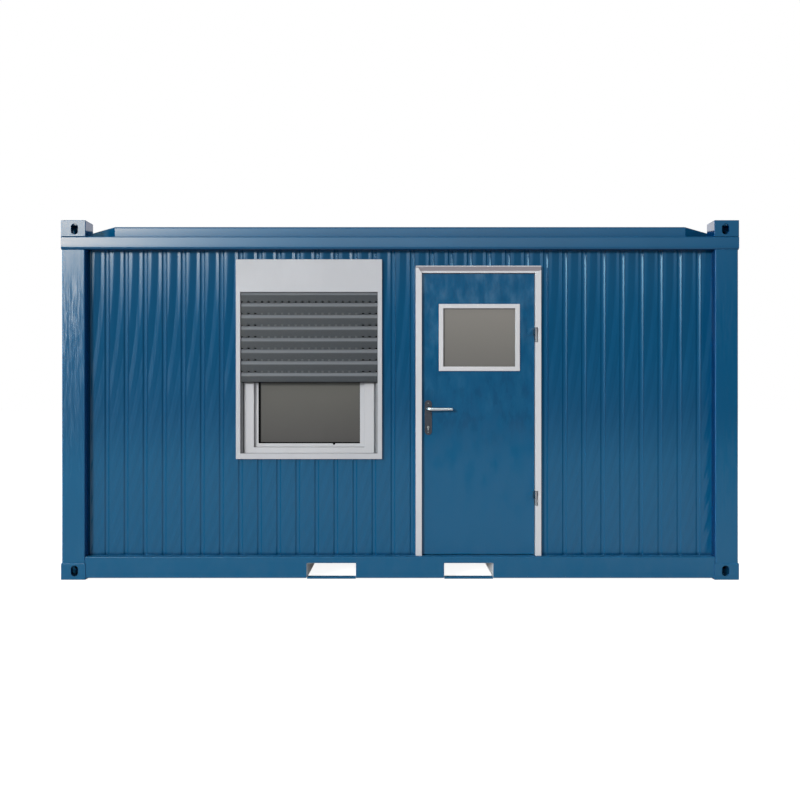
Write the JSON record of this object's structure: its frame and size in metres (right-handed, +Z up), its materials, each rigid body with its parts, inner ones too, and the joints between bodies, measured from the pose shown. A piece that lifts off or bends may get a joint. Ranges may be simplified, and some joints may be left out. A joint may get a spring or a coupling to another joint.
{
  "type": "portable site cabin",
  "caption": "Steel-framed portable cabin with grooved walls, corner castings, fork pockets, a shuttered window and an outward-opening door.",
  "frame": {"origin": "on the ground under the middle of the cabin", "axes": "+X along the long front, to the right as seen from the front; +Y from the front to the back; +Z up"},
  "size_m": [4.885, 2.435, 2.591],
  "materials": {
    "blue_paint": "gloss",
    "galvanised_steel": "satin",
    "roof_sheet": "satin",
    "timber": "matte",
    "white_board": "matte",
    "white_paint": "satin",
    "white_pvc": "satin",
    "shutter_grey": "satin",
    "glass": "gloss",
    "bronze_plate": "satin",
    "satin_steel": "satin"
  },
  "bodies": {
    "cabin": {"back_wall": "blue_paint", "bottom_rail_back": "blue_paint", "bottom_rail_front": "blue_paint", "bottom_rails_end": "blue_paint", "castings_bottom": "blue_paint", "castings_top": "blue_paint", "ceiling_panel": "white_board", "corner_posts": "blue_paint", "door_frame": "white_paint", "end_wall_left": "blue_paint", "end_wall_right": "blue_paint", "floor_joists": "timber", "floor_panel": "timber", "fork_pocket_headers": "blue_paint", "fork_pocket_roofs": "galvanised_steel", "fork_pocket_sides": "galvanised_steel", "fork_pocket_straps": "blue_paint", "front_wall_above_door": "blue_paint", "front_wall_above_window": "blue_paint", "front_wall_below_window": "blue_paint", "front_wall_left": "blue_paint", "front_wall_middle": "blue_paint", "front_wall_right": "blue_paint", "hinge_frame_halves": "satin_steel", "lining_back": "white_board", "lining_front": "white_board", "linings_end": "white_board", "roof_gussets": "blue_paint", "roof_panel": "roof_sheet", "shutter_curtain": "shutter_grey", "shutter_guides": "white_paint", "threshold": "galvanised_steel", "top_rail_back": "blue_paint", "top_rail_front": "blue_paint", "top_rails_end": "blue_paint", "window_frame": "white_pvc", "window_glass": "glass", "window_sash": "white_pvc", "window_surround": "white_paint"},
    "door": {"door_leaf": "blue_paint", "door_window_trims": "white_pvc", "door_glass": "glass", "handle_plates": "bronze_plate", "lock_cylinders": "satin_steel", "hinge_leaf_halves": "satin_steel"},
    "lever": {"door_lever": "satin_steel"}
  },
  "joints": [
    {"name": "door_hinge", "type": "hinge", "parent": "cabin", "child": "door", "pos_m": [0.99, -1.1515, 0], "axis": [0, 0, 1], "range_deg": [0, 110]},
    {"name": "lever_turn", "type": "hinge", "parent": "door", "child": "lever", "pos_m": [0.206, -1.1175, 1.229], "axis": [0, 1, 0], "range_deg": [0, 40], "stiffness_Nm_per_rad": 1.5, "springref_deg": -34.38}
  ]
}
